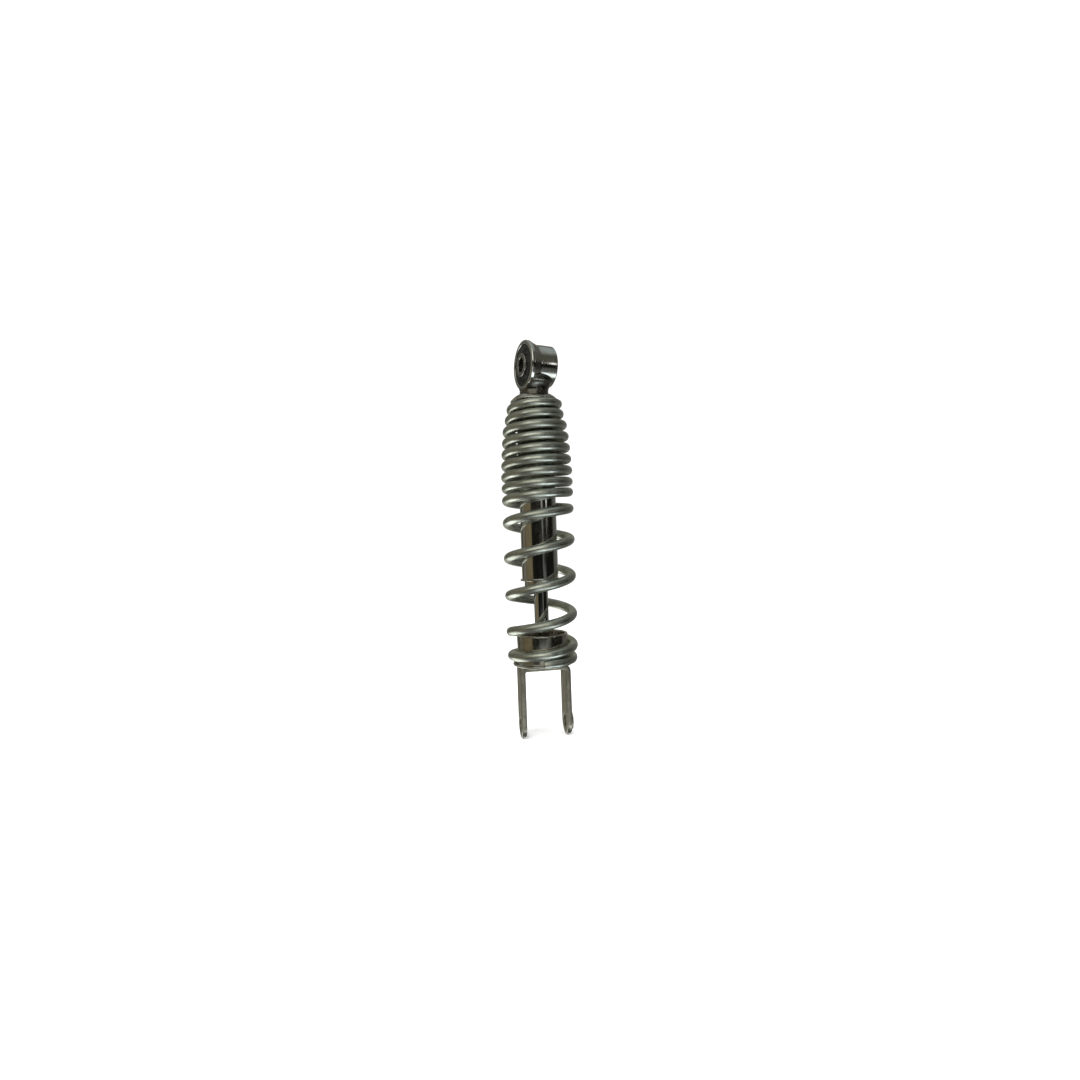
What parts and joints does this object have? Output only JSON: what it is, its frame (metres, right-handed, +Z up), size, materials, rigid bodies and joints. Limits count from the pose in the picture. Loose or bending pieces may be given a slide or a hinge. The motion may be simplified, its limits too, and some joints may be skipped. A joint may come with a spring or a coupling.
{
  "type": "rear shock absorber",
  "caption": "Motorcycle rear shock absorber: sealed twin-tube damper with a rubber-bushed upper eye, progressive coil spring, lower seat cup and a two-tine fork.",
  "frame": {"origin": "centre of the upper eye's bolt bore", "axes": "+Z up along the damper towards the eye, +X along the fork bolt"},
  "size_m": [0.0502, 0.0501, 0.2755],
  "materials": {
    "bright_plate": "polished plating with faint draw lines",
    "rod_chrome": "hard chrome, ground and polished",
    "spring_plate": "satin bright plating over drawn wire",
    "fork_plate": "zinc plated pressed plate, slightly tarnished",
    "sleeve_steel": "turned steel",
    "rubber_black": "matt moulded rubber",
    "cast_alloy": "machined casting",
    "bush_bronze": "sintered bronze lined bush",
    "steel_inner": "oiled machined steel",
    "band_plastic": "filled low-friction plastic"
  },
  "bodies": {
    "eye_sleeve": {"eye_sleeve": "sleeve_steel"},
    "damper_body": {"eye_ring": "bright_plate", "eye_rubber": "rubber_black", "eye_neck": "bright_plate", "upper_spring_seat": "bright_plate", "main_spring": "spring_plate", "damper_tube": "bright_plate", "tube_cap": "steel_inner", "inner_cylinder": "steel_inner", "base_valve": "cast_alloy", "base_valve_shims": "steel_inner", "base_valve_bolt": "steel_inner", "rod_guide": "cast_alloy", "guide_bush": "bush_bronze", "guide_o_ring": "rubber_black", "oil_seal": "rubber_black", "garter_spring": "steel_inner", "gland_cap": "bright_plate", "dust_wiper": "rubber_black", "wiper_clip": "steel_inner"},
    "piston_band": {"piston_band": "band_plastic"},
    "rod_assembly": {"piston": "cast_alloy", "rebound_shims": "steel_inner", "compression_shims": "steel_inner", "piston_nut": "steel_inner", "rebound_stop": "rubber_black", "piston_rod": "rod_chrome", "bump_stop": "rubber_black", "bump_washer": "steel_inner", "lower_spring_cup": "bright_plate", "fork": "fork_plate", "fork_collar": "fork_plate"}
  },
  "joints": [
    {"name": "eye_swing", "type": "hinge", "parent": "eye_sleeve", "child": "damper_body", "pos_m": [0, 0, 0], "axis": [0.9703, 0.2419, 0], "range_deg": [-10, 10], "stiffness_Nm_per_rad": 25},
    {"name": "rod_slide", "type": "slide", "parent": "damper_body", "child": "piston_band", "axis": [0, 0, 1], "range_m": [0, 0.042], "stiffness_N_per_m": 17000, "springref_m": -0.012, "deforming": ["main_spring"]},
    {"name": "rod_swivel", "type": "hinge", "parent": "piston_band", "child": "rod_assembly", "pos_m": [0, 0, -0.12], "axis": [0, 0, 1], "continuous": true}
  ]
}
